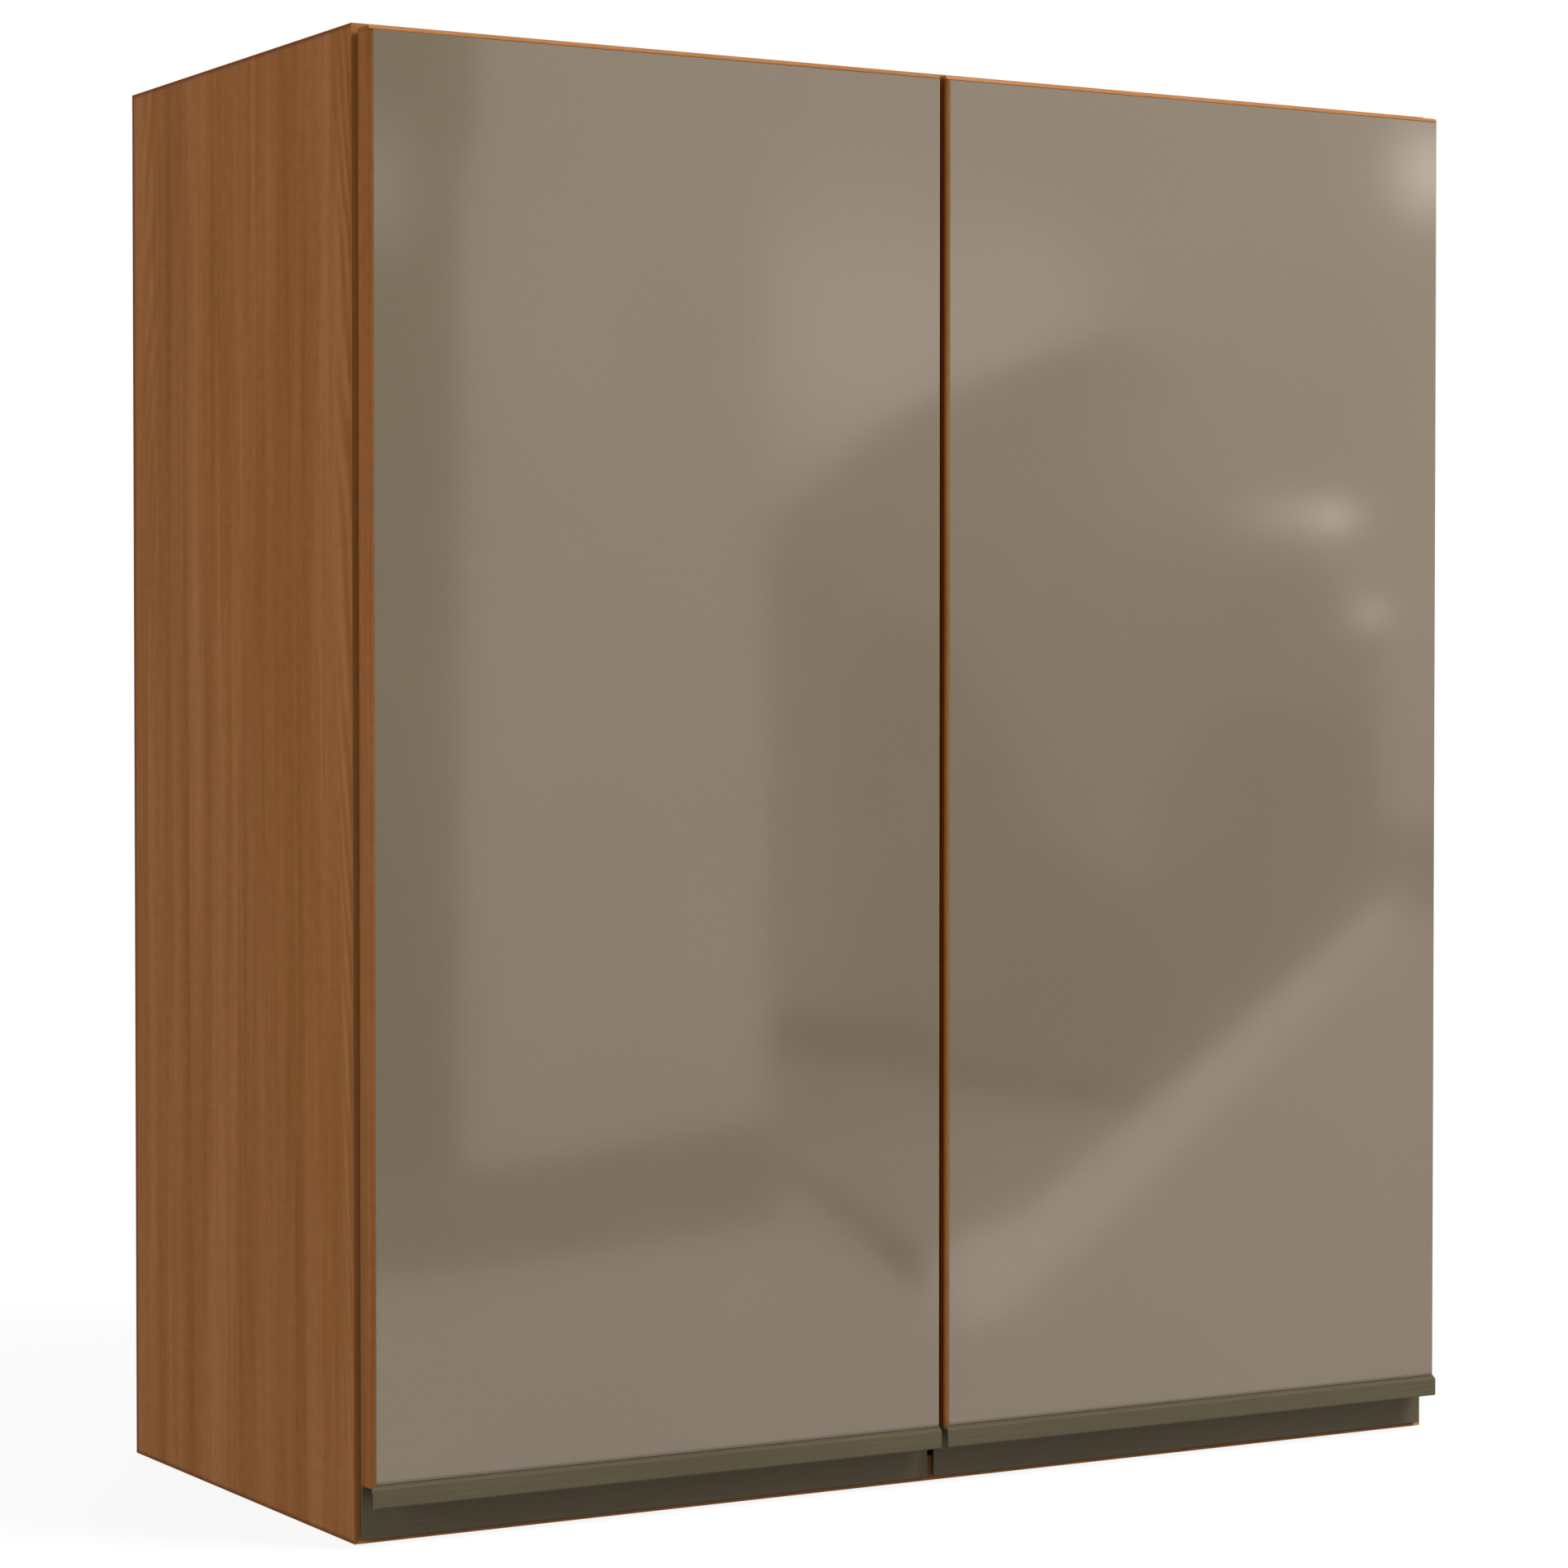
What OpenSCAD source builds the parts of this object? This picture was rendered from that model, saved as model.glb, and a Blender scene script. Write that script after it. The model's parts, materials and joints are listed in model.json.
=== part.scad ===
// Wall-hung two-door kitchen cabinet: wood-grain carcass, gloss doors, handle profiles under the doors.
// Units are millimetres. X runs left to right, +Y points to the wall, +Z is up.
// The origin is the middle of the footprint at the underside of the carcass.

/* [Carcass] */
// Width over both side panels
carcass_w = 600; // [500:10:800]
// Height of the side panels
carcass_h = 672; // [600:4:760]
// Depth of the side panels
carcass_d = 260; // [240:5:320]
// Thickness of the side panels
side_t = 15; // [15:1:18]
// Thickness of the top, the bottom and the shelf
board_t = 12; // [12:1:15]
// Thickness of the back panel
back_t = 3; // [3:0.5:4]
// Height of the two rails behind the back panel
rail_h = 70; // [60:5:90]
// Thickness of the two rails
rail_t = 15; // [12:1:15]

/* [Doors] */
// Thickness of a door with its gloss face
door_t = 12; // [12:0.5:13]
// Gap between a closed door and the carcass
door_gap = 1.5; // [1.5:0.1:1.8]
// Gap between the two doors
meeting_gap = 3.6; // [3:0.1:5]
// Distance from a door's outer edge to the side panel's outer face
side_reveal = 2.5; // [2.4:0.1:2.6]
// Distance from the top of the doors to the top of the carcass
top_reveal = 2.4; // [2:0.2:4]
// Height of the doors' lower edge above the underside of the carcass
door_z0 = 28; // [27:0.5:30]
// Thickness of the wood-grain edge band on the left and top edges of a door
band_t = 2; // [1.5:0.1:2.5]
// Thickness of the gloss face
skin_t = 0.6; // [0.5:0.1:0.8]

/* [Handle profile] */
// Wall thickness of the profile
profile_t = 1.5; // [1.4:0.1:1.6]
// How far the finger lip stands in front of the door face
lip_proud = 2.5; // [2:0.1:3]
// Height of the finger lip
lip_h = 9.4; // [8:0.2:11]
// Gap between the lower edge of the rear flange and the underside of the carcass
flange_z0 = 2.4; // [2:0.1:4]

/* [Shelf] */
// Height of the shelf's underside
shelf_z = 328; // [280:1:380]
// Distance from the carcass front to the shelf's front edge
shelf_setback = 22; // [20:1:40]
// Number of shelf pin holes in each row
pin_rows = 5; // [3:2:7]

/* [Hinges] */
// Distance from a door's lower or upper edge to the middle of the nearest hinge
hinge_inset = 82; // [70:1:100]
// Diameter of the hinge cup
cup_d = 35; // [35:0.5:35]
// Distance from the door's hinge edge to the middle of the cup
cup_inset = 22.5; // [22.5:0.1:22.6]
// Depth of the cup in the door
cup_depth = 9; // [9:0.1:9.2]

/* [Hidden] */

LEFT = -1;
RIGHT = 1;
wood = "#8a5a36";
wood_dark = "#7a4d2d";
beech = "#d9b98c";
gloss = "#8f8373";
bronze = "#58513f";
steel = "#b9bcc0";
pin_steel = "#8d9196";
plastic = "#e8e6e0";

round_fn = 64;     // facets of a drawn circle, all of them true arcs
fit = 0.05;        // radial clearance of a screw or dowel in its hole
run_fit = 0.06;    // radial clearance of a turning pin
over = 1;          // how far a cut runs past a face

// Depths are drawn from the front edge of the carcass, y = 0, then moved to the part's origin
stack_front = door_gap + door_t + lip_proud;
front_y = -(carcass_d - stack_front) / 2;

// Carcass
half_w = carcass_w / 2;
inner_w = carcass_w - 2 * side_t;
half_inner = inner_w / 2;
edge_t = 0.5;
groove_depth = 6;
groove_fit = 0.1;
groove_end = 0.5;
back_y = carcass_d - rail_t - back_t;
rail_fit = 0.1;

// Cam-lock fittings, drawn along +X from the inner face of a side panel
cam_reach = 24;
cam_d = 15;
cam_floor = 2;
cam_play = 0.2;
cam_recess = [9, 1.6, 2];          // length, width and depth of the driver cross
bolt_thread_d = 6;
bolt_thread_l = 10.5;
bolt_shank_d = 5;
bolt_head_d = 6.6;
bolt_head_l = 3;
bolt_bore_d = 7.4;
bolt_bore_end = 4;
bolt_hole_end = 0.5;
dowel_d = 6;
dowel_l = 28;
dowel_in_side = 9;
dowel_end = 0.5;
fitting_front_y = 42;
fitting_rear_y = 205;
dowel_offset = 26;

// Wall screws through the upper rail
wall_hole_d = 7;
wall_hole_spacing = 400;

// Shelf
shelf_side_gap = 1;
shelf_back_gap = 2;
shelf_w = inner_w - 2 * shelf_side_gap;
pin_d = 5;
pin_hole_depth = 9;
pin_in_side = 8;
pin_pitch = 32;
pin_front_y = 60;
pin_rear_y = 210;
pin_drop = 2.5;
pin_collar_d = 9;
pin_collar_t = 1.2;
pin_tongue = [9, 8, 2 * pin_drop];
pin_centre_z = shelf_z - pin_drop;

// Doors
door_w = (carcass_w - 2 * side_reveal - meeting_gap) / 2;
door_z1 = carcass_h - top_reveal;
door_h = door_z1 - door_z0;
door_back = -door_gap;
door_front = -(door_gap + door_t);
tape_t = 0.4;
band_joint = 0.05;
bumper_t = 1.2;
bumper_r = 3.5;
bumper_inset = 12;
bumper_zs = [door_z1 - bumper_r - 2.2, board_t - bumper_r - 1];

// Handle profile, a section in Y and Z
web_z0 = door_z0 - profile_t;
tongue_y = door_front + 4.2;
tongue_t = 2;
tongue_h = 8;
tongue_end = 0.5;
barb = 0.35;
barb_h = 1.4;
barb_zs = [3, 5.6];
lip_y0 = door_front - lip_proud;
lip_z1 = door_z0 - 0.6;
lip_z0 = lip_z1 - lip_h;
bead_r = 1.5;
profile_fillet = 1.2;
handle_screw_y = door_back - 4;
handle_screw_n = 3;
handle_screw_inset = 30;
handle_screw_d = 3;
handle_screw_l = 12;
handle_head_d = 5.6;
handle_head_h = 1.2;
handle_head_play = 0.1;
small_recess = [2.8, 0.6, 0.7];

// Hinges. Plan points are measured from the outer face of the side panel and the carcass front
hinge_zs = [door_z0 + hinge_inset, door_z1 - hinge_inset];
cup_x = side_reveal + cup_inset;
cup_wall = 1;
cup_floor = 0.8;
cup_rim_d = cup_d + 3;
cup_bore_play = 0.1;
wing_t = 1;
wing_half = 26;
wing_w = 12;
wing_x = cup_x + 5.5;
cup_screw_z = 24;
cup_screw_d = 3;
cup_screw_l = 10;
cup_head_d = 6.4;
cup_head_h = 0.4;
inner_arm_pivot = [28.3, 4.4];
inner_cup_pivot = [12.0, -4.0];
outer_arm_pivot = [36.0, -5.8];
outer_cup_pivot = [17.1, -4.8];
inner_knee = [17.65, -7.0];
arm_pin_r = 1.25;
cup_pin_r = 1;
pin_press = 0.02;
inner_half = 1.7;
inner_eye_r = 1.9;
inner_hub_r = 2.4;
outer_half = 2;
open_eye = [17.15, -4.95];
open_eye_r = 2.8;
open_eye_wall = 0.7;

// Layers of a hinge along Z, measured from its middle plane, so that no moving layers meet
lug_z1 = 1.8;
inner_z0 = 2.2;
inner_z1 = 3.4;
outer_z0 = 3.9;
outer_z1 = 5.3;
arm_z0 = 5.8;
arm_z1 = 7;
block_z0 = 5.8;
block_z1 = 9;
block_half = 2;
block_back = 0.8;
block_foot = 0.1;
stub_recess = 0.3;
hinge_reach = 10;

// Hinge arm, its outline in plan
arm_top = 33;
arm_foot = 19;
arm_back = 62;
arm_bend = 22;
arm_sheet = 1.2;
nose_top = 38.4;
nose_y = 9;
nose_r = 2.4;
heel_r = 2.9;
heel_x = 25.6;
waist = [24.8, 12];
bend_drop = 0.3;
arm_screw_ys = [34, 54];
arm_screw_d = 3.1;
arm_neck_d = 4;
arm_head_d = 7;
arm_head_h = 1.75;
arm_neck_l = 2;
arm_hole_floor = 3;
arm_recess = [4.8, 0.9, 1];

// Mounting plate and its screws; each size is along X, Y and Z
plate_y = 37;
plate_wing = [2.5, 12, 44];
plate_foot = [2.5, 36, 16];
plate_foot_y = 26;
plate_block = [9, 34, 10.4];
plate_block_y = 27;
plate_screw_z = 16;
plate_screw_d = 5;
plate_screw_l = 11;
plate_head_d = 8.2;
plate_head_h = 1.5;
plate_head_x = side_t + 1;
plate_recess = [4.4, 0.8, 1.2];

module at_front() translate([0, front_y, 0]) children();

// Draws a left-hand part on the chosen side
module on_side(side) {
    if (side == LEFT) children();
    else mirror([1, 0, 0]) children();
}

// ---------- shared shapes ----------

// A round bar along +X
module along_x(d, x0, x1) {
    translate([x0, 0, 0]) rotate([0, 90, 0]) cylinder(d = d, h = x1 - x0, $fn = round_fn);
}

// A round bar along Z through a plan point
module along_z(p, r, z0, z1) {
    translate([p[0], p[1], z0]) cylinder(r = r, h = z1 - z0, $fn = round_fn);
}

// A cross-shaped driver recess in a head that faces +Z at the origin; size is length, width and depth
module cross_recess(size) {
    for (turn = [0, 90])
        rotate(turn) translate([-size[0] / 2, -size[1] / 2, -size[2]]) cube([size[0], size[1], size[2] + over]);
}

// Puts a fitting drawn along +X at the two ends of a board that lies between the side panels
module at_board_ends() {
    for (side = [LEFT, RIGHT])
        on_side(side) translate([-half_inner, 0, 0]) children();
}

// ---------- carcass fittings ----------

module board_cam_places() {
    for (z = [carcass_h - board_t / 2, board_t / 2])
        for (y = [fitting_front_y, fitting_rear_y])
            at_board_ends() translate([0, y, z]) children();
}

// A cam in a rail opens towards the wall
module rail_cam_places() {
    for (z = [carcass_h - board_t - rail_h / 2, board_t + rail_h / 2])
        at_board_ends() translate([0, carcass_d - rail_t / 2, z]) rotate([-90, 0, 0]) children();
}

module dowel_places() {
    for (z = [carcass_h - board_t / 2, board_t / 2])
        for (y = [fitting_front_y + dowel_offset, fitting_rear_y - dowel_offset])
            at_board_ends() translate([0, y, z]) children();
    for (z = [carcass_h - board_t - rail_h / 4, board_t + rail_h / 4])
        at_board_ends() translate([0, carcass_d - rail_t / 2, z]) children();
}

module cam_bolt() {
    along_x(bolt_thread_d, -bolt_thread_l, 0);
    along_x(bolt_shank_d, 0, cam_reach - bolt_head_l);
    along_x(bolt_head_d, cam_reach - bolt_head_l, cam_reach);
}

// A cam in a board of thickness t: its bore meets the bolt's head, and its cross faces +Z
module cam_lock(t) {
    difference() {
        along_z([cam_reach, 0], cam_d / 2, cam_floor - t / 2, t / 2);
        along_x(bolt_bore_d, 0, cam_reach + bolt_bore_end);
        translate([cam_reach, 0, t / 2]) cross_recess(cam_recess);
    }
}

module cam_bore(t) {
    along_z([cam_reach, 0], cam_d / 2 + fit, cam_floor - cam_play - t / 2, t / 2 + over);
    along_x(bolt_bore_d, -over, cam_reach);
}

module bolt_hole() {
    along_x(bolt_thread_d + 2 * fit, -bolt_thread_l - bolt_hole_end, over);
}

module dowel_hole() {
    along_x(dowel_d + 2 * fit, -dowel_in_side - dowel_end, dowel_l - dowel_in_side + dowel_end);
}

module wall_holes() {
    for (x = [-wall_hole_spacing / 2, wall_hole_spacing / 2])
        translate([x, back_y - over, carcass_h - board_t - rail_h / 2]) rotate([-90, 0, 0])
            cylinder(d = wall_hole_d, h = carcass_d, $fn = round_fn);
}

module shelf_pin_holes() {
    first = pin_centre_z - pin_pitch * (pin_rows - 1) / 2;
    for (row = [0 : pin_rows - 1])
        for (y = [pin_front_y, pin_rear_y])
            at_board_ends() translate([0, y, first + row * pin_pitch])
                along_x(pin_d + 2 * fit, -pin_hole_depth, over);
}

// ---------- carcass ----------

module side_panel(side) {
    color(wood) at_front() difference() {
        on_side(side) translate([-half_w, edge_t, 0]) cube([side_t, carcass_d - edge_t, carcass_h]);
        on_side(side) translate([-half_inner - groove_depth, back_y - groove_fit, -over])
            cube([groove_depth + over, back_t + 2 * groove_fit, carcass_h + 2 * over]);
        board_cam_places() bolt_hole();
        rail_cam_places() bolt_hole();
        dowel_places() dowel_hole();
        shelf_pin_holes();
        hinge_places(side) plate_screw_places()
            along_x(plate_screw_d + 2 * fit, side_t - plate_screw_l, side_t + over);
    }
}

// A board between the side panels with a groove for the back panel, whose lower face is at groove_z
module horizontal_board(z, groove_z) {
    difference() {
        translate([-half_inner, edge_t, z]) cube([inner_w, carcass_d - edge_t, board_t]);
        translate([-half_inner - over, back_y - groove_fit, groove_z])
            cube([inner_w + 2 * over, back_t + 2 * groove_fit, groove_depth + over]);
        board_cam_places() cam_bore(board_t);
        dowel_places() dowel_hole();
    }
}

module top_panel() {
    color(wood) at_front() horizontal_board(carcass_h - board_t, carcass_h - board_t - over);
}

module bottom_panel() {
    color(wood) at_front() horizontal_board(0, board_t - groove_depth);
}

module back_panel() {
    reach = groove_depth - groove_end;
    color(wood) at_front() difference() {
        translate([-half_inner - reach, back_y, board_t - reach])
            cube([inner_w + 2 * reach, back_t, carcass_h - 2 * board_t + 2 * reach]);
        wall_holes();
    }
}

module rail(z) {
    y0 = back_y + back_t + rail_fit;
    difference() {
        translate([-half_inner, y0, z]) cube([inner_w, carcass_d - y0, rail_h]);
        rail_cam_places() cam_bore(rail_t);
        dowel_places() dowel_hole();
        wall_holes();
    }
}

module upper_rail() {
    color(wood_dark) at_front() rail(carcass_h - board_t - rail_h);
}

module lower_rail() {
    color(wood_dark) at_front() rail(board_t);
}

module carcass_front_bands() {
    color(wood) at_front() {
        for (side = [LEFT, RIGHT])
            on_side(side) translate([-half_w, 0, 0]) cube([side_t, edge_t, carcass_h]);
        for (z = [0, carcass_h - board_t])
            translate([-half_inner, 0, z]) cube([inner_w, edge_t, board_t]);
    }
}

module shelf() {
    shelf_y0 = shelf_setback + edge_t;
    color(wood) at_front() translate([-shelf_w / 2, shelf_y0, shelf_z])
        cube([shelf_w, back_y - shelf_back_gap - shelf_y0, board_t]);
}

module shelf_front_band() {
    color(wood) at_front() translate([-shelf_w / 2, shelf_setback, shelf_z])
        cube([shelf_w, edge_t, board_t]);
}

// A pin in the side panel, a collar against the panel, cut flat on top, and a tongue under the shelf
module shelf_pins() {
    color(steel) at_front()
        for (y = [pin_front_y, pin_rear_y])
            at_board_ends() translate([0, y, pin_centre_z]) {
                along_x(pin_d, -pin_in_side, 0);
                difference() {
                    along_x(pin_collar_d, 0, pin_collar_t);
                    translate([-over, -pin_collar_d, pin_drop])
                        cube([pin_collar_t + 2 * over, 2 * pin_collar_d, pin_collar_d]);
                }
                translate([0, -pin_tongue[1] / 2, -pin_tongue[2] / 2]) cube(pin_tongue);
            }
}

module cam_bolts() {
    color(steel) at_front() {
        board_cam_places() cam_bolt();
        rail_cam_places() cam_bolt();
    }
}

module cam_locks() {
    color(steel) at_front() {
        board_cam_places() cam_lock(board_t);
        rail_cam_places() cam_lock(rail_t);
    }
}

module dowels() {
    color(beech) at_front() dowel_places() along_x(dowel_d, -dowel_in_side, dowel_l - dowel_in_side);
}

// ---------- doors ----------

// Left edge of a door in the part's X; both doors are built from left to right
function door_x0(side) = side == LEFT ? -half_w + side_reveal : meeting_gap / 2;

module door_panel(side) {
    color(wood) at_front() difference() {
        translate([door_x0(side) + band_t, door_front + skin_t, door_z0])
            cube([door_w - band_t - tape_t, door_t - skin_t, door_h - band_t]);
        hinge_places(side) {
            translate([cup_x, 0, 0]) rotate([90, 0, 0])
                cylinder(d = cup_d + 2 * fit, h = door_gap + cup_depth + cup_bore_play, $fn = round_fn);
            cup_screw_places() rotate([90, 0, 0])
                cylinder(d = cup_screw_d + 2 * fit, h = cup_screw_l, $fn = round_fn);
        }
        tongue_groove(side);
        handle_screw_places(side) translate([0, 0, -over])
            cylinder(d = handle_screw_d + 2 * fit, h = handle_screw_l + 2 * over, $fn = round_fn);
    }
}

// Groove in the board's lower edge for the tongue of the handle profile; the bands close its ends
module tongue_groove(side) {
    groove_t = tongue_t + 2 * (barb + fit);
    translate([door_x0(side), tongue_y - groove_t / 2, door_z0 - over])
        cube([door_w, groove_t, tongue_h + groove_end + over]);
}

module door_face(side) {
    color(gloss) at_front() translate([door_x0(side) + band_t, door_front, door_z0])
        cube([door_w - band_t, skin_t, door_h - band_t]);
}

// Section of a thick edge band: a strip with its outer front corner rounded
module band_section() {
    difference() {
        square([band_t, door_t]);
        difference() {
            square([band_t, band_t]);
            translate([band_t, band_t]) circle(r = band_t, $fn = round_fn);
        }
    }
}

// Left band, top band and the thin tape on the right edge, with a hairline joint under the top band.
// The left band runs down past the board to cover the end of the handle profile's web.
module door_bands(side) {
    band_top = door_z1 - band_t - band_joint;
    color(wood) at_front() {
        translate([door_x0(side), door_front, web_z0]) linear_extrude(band_top - web_z0) band_section();
        translate([door_x0(side), door_front, door_z1]) rotate([0, 90, 0])
            linear_extrude(door_w) band_section();
        translate([door_x0(side) + door_w - tape_t, door_front + skin_t, door_z0])
            cube([tape_t, door_t - skin_t, band_top - door_z0]);
    }
}

// Flat bumpers on the door's back: one meets the top panel, one on the flange meets the bottom panel
module door_bumpers(side) {
    x = side == LEFT ? door_x0(side) + door_w - bumper_inset : door_x0(side) + bumper_inset;
    color(plastic) at_front()
        for (z = bumper_zs)
            translate([x, door_back, z]) rotate([-90, 0, 0])
                cylinder(r = bumper_r, h = bumper_t, $fn = round_fn);
}

// ---------- handle profiles ----------

// Section of the profile: web under the door, lip in front and flange behind
module profile_section() {
    lip_y = lip_y0 + profile_t / 2;
    tip_z = lip_z0 + profile_t / 2;
    // web
    translate([lip_y0 + bead_r, web_z0]) square([door_back - lip_y0 - bead_r, profile_t]);
    // bead at the top of the lip
    translate([lip_y0 + bead_r, lip_z1 - bead_r]) circle(r = bead_r, $fn = round_fn);
    // lip with a round tip
    translate([lip_y0, tip_z]) square([profile_t, lip_z1 - bead_r - tip_z]);
    translate([lip_y, tip_z]) circle(d = profile_t, $fn = round_fn);
    // inner corner of the lip
    corner_fillet(lip_y0 + profile_t, web_z0, 1);
    // flange
    translate([door_back - profile_t, flange_z0]) square([profile_t, door_z0 - flange_z0]);
    // inner corner of the flange
    corner_fillet(door_back - profile_t, web_z0, -1);
}

// Section of the tongue with two pairs of barbs
module tongue_section() {
    half = tongue_t / 2;
    translate([tongue_y - half, door_z0 - profile_t / 2]) square([tongue_t, tongue_h + profile_t / 2]);
    for (z = barb_zs)
        translate([tongue_y, door_z0 + z])
            polygon([[-half - barb, 0], [half + barb, 0], [half, barb_h], [-half, barb_h]]);
}

// A quarter-round fillet under the web; dir is +1 towards +Y
module corner_fillet(y, z, dir) {
    r = profile_fillet;
    lap = 0.2;
    difference() {
        translate([dir > 0 ? y - lap : y - r, z - r]) square([r + lap, r + lap]);
        translate([y + dir * r, z - r]) circle(r = r, $fn = round_fn);
    }
}

// Draws a section of a door's width, cut back by start and end
module along_door(side, start, end) {
    translate([door_x0(side) + start, 0, 0]) rotate([90, 0, 90])
        linear_extrude(door_w - start - end) children();
}

module handle_profile(side) {
    color(bronze) at_front() difference() {
        union() {
            along_door(side, 0, 0) profile_section();
            along_door(side, band_t + tongue_end, tape_t + tongue_end) tongue_section();
        }
        // room for the foot of the left band
        translate([door_x0(side) - over, door_front - fit, web_z0 - fit])
            cube([over + band_t + fit, door_t + over, profile_t + over]);
        handle_screw_places(side) {
            translate([0, 0, -profile_t - over])
                cylinder(d = handle_screw_d + 2 * fit, h = profile_t + 2 * over, $fn = round_fn);
            translate([0, 0, -profile_t]) handle_head(handle_head_play / 2, handle_head_h);
        }
    }
}

// Screw axes under the door, the origin at the door's lower edge
module handle_screw_places(side) {
    pitch = (door_w - 2 * handle_screw_inset) / (handle_screw_n - 1);
    for (i = [0 : handle_screw_n - 1])
        translate([door_x0(side) + handle_screw_inset + i * pitch, handle_screw_y, door_z0]) children();
}

// Countersunk head; play widens it for the seat in the profile
module handle_head(play, h) {
    cylinder(d1 = handle_head_d + 2 * play, d2 = handle_screw_d + 2 * play, h = h, $fn = round_fn);
}

module handle_screws(side) {
    head_z = fit - profile_t;
    color(pin_steel) at_front() handle_screw_places(side) difference() {
        union() {
            translate([0, 0, head_z])
                cylinder(d = handle_screw_d, h = handle_screw_l - head_z, $fn = round_fn);
            translate([0, 0, head_z]) handle_head(-handle_head_play / 2, handle_head_h - handle_head_play);
        }
        translate([0, 0, head_z]) rotate([180, 0, 0]) cross_recess(small_recess);
    }
}

// ---------- hinges ----------

// Plan origin of each hinge: outer face of the side panel, carcass front, middle of the hinge
module hinge_places(side) {
    for (z = hinge_zs)
        on_side(side) translate([-half_w, 0, z]) children();
}

module plate_screw_places() {
    for (z = [-plate_screw_z, plate_screw_z])
        translate([0, plate_y, z]) children();
}

module arm_screw_places() {
    for (y = arm_screw_ys)
        translate([0, y, 0]) children();
}

module cup_screw_places() {
    for (z = [-cup_screw_z, cup_screw_z])
        translate([wing_x, door_back, z]) children();
}

// A plan shape made thick along Z
module slab(z0, z1) {
    translate([0, 0, z0]) linear_extrude(z1 - z0) children();
}

// A pair of cheeks of one outline, one on each side of the middle plane
module cheeks(z0, z1) {
    slab(z0, z1) children();
    slab(-z1, -z0) children();
}

// A straight strip between two plan points
module strip(p, q, half) {
    turn = atan2(q[1] - p[1], q[0] - p[0]);
    translate(p) rotate(turn) translate([0, -half]) square([norm(q - p), 2 * half]);
}

// A block on the side panel, centred on the hinge's middle plane
module plate_part(y0, size) {
    translate([side_t, y0, -size[2] / 2]) cube(size);
}

module mounting_plates(side) {
    color(steel) at_front() hinge_places(side) difference() {
        union() {
            plate_part(plate_y - plate_wing[1] / 2, plate_wing);
            plate_part(plate_foot_y, plate_foot);
            plate_part(plate_block_y, plate_block);
        }
        plate_screw_places() along_x(plate_screw_d + 4 * fit, side_t - over, side_t + plate_wing[0] + over);
        plate_screw_places() plate_head(4 * fit, plate_head_h + 2 * fit);
        arm_screw_places()
            along_x(arm_screw_d + 2 * fit, side_t + arm_hole_floor, side_t + plate_block[0] + over);
    }
}

// Countersunk head along +X; play widens it for the seat in the plate
module plate_head(play, h) {
    translate([plate_head_x, 0, 0]) rotate([0, 90, 0])
        cylinder(d1 = plate_screw_d + 2 * play, d2 = plate_head_d + 2 * play, h = h, $fn = round_fn);
}

module plate_screws(side) {
    color(steel) at_front() hinge_places(side) plate_screw_places() difference() {
        union() {
            along_x(plate_screw_d, side_t - plate_screw_l + bolt_hole_end, plate_head_x + plate_head_h);
            plate_head(0, plate_head_h);
        }
        translate([plate_head_x + plate_head_h, 0, 0]) rotate([0, 90, 0]) cross_recess(plate_recess);
    }
}

// Outline of the arm's cheeks
module cheek_outline() {
    heel = inner_arm_pivot;
    tip = outer_arm_pivot;
    polygon([
        [tip[0] + nose_r, tip[1]], [nose_top, nose_y], [arm_top, arm_bend], [arm_top, arm_back],
        [arm_foot, arm_back], [arm_foot, arm_bend + 1], waist, [heel_x, heel[1]], [tip[0] - nose_r, tip[1]]
    ]);
    translate(tip) circle(r = nose_r, $fn = round_fn);
    translate(heel) circle(r = heel_r, $fn = round_fn);
}

// Section of the arm's web, which joins the cheeks behind the links
module web_outline() {
    polygon([
        [nose_top, nose_y], [arm_top, arm_bend], [arm_top, arm_back], [arm_top - arm_sheet, arm_back],
        [arm_top - arm_sheet, arm_bend - bend_drop], [nose_top - arm_sheet, nose_y - bend_drop]
    ]);
}

module hinge_arms(side) {
    color(steel) at_front() hinge_places(side) difference() {
        union() {
            cheeks(arm_z0, arm_z1) cheek_outline();
            slab(-arm_z1, arm_z1) web_outline();
        }
        for (p = [inner_arm_pivot, outer_arm_pivot])
            along_z(p, arm_pin_r + pin_press, -hinge_reach, hinge_reach);
        arm_screw_places() along_x(arm_neck_d + 4 * fit, arm_top - arm_sheet - over, arm_top + over);
    }
}

// A screw with a neck through the arm's web and a flat round head on it
module arm_screws(side) {
    head_x = arm_top + fit;
    color(pin_steel) at_front() hinge_places(side) arm_screw_places() difference() {
        union() {
            along_x(arm_screw_d, side_t + arm_hole_floor + fit, arm_top);
            along_x(arm_neck_d, arm_top - arm_neck_l, head_x);
            along_x(arm_head_d, head_x, head_x + arm_head_h);
        }
        translate([head_x + arm_head_h, 0, 0]) rotate([0, 90, 0]) cross_recess(arm_recess);
    }
}

module arm_pins(side) {
    color(pin_steel) at_front() hinge_places(side)
        for (p = [inner_arm_pivot, outer_arm_pivot])
            along_z(p, arm_pin_r, -arm_z1, arm_z1);
}

// The inner link hooks round the door's edge when the door is open
module inner_links(side) {
    color(steel) at_front() hinge_places(side) difference() {
        union() {
            cheeks(inner_z0, inner_z1) {
                strip(inner_arm_pivot, inner_knee, inner_half);
                strip(inner_knee, inner_cup_pivot, inner_half);
                translate(inner_knee) circle(r = inner_half, $fn = round_fn);
                translate(inner_cup_pivot) circle(r = inner_eye_r, $fn = round_fn);
            }
            along_z(inner_arm_pivot, inner_hub_r, -inner_z1, inner_z1);
        }
        along_z(inner_arm_pivot, arm_pin_r + run_fit, -hinge_reach, hinge_reach);
        along_z(inner_cup_pivot, cup_pin_r + run_fit, -hinge_reach, hinge_reach);
    }
}

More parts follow.
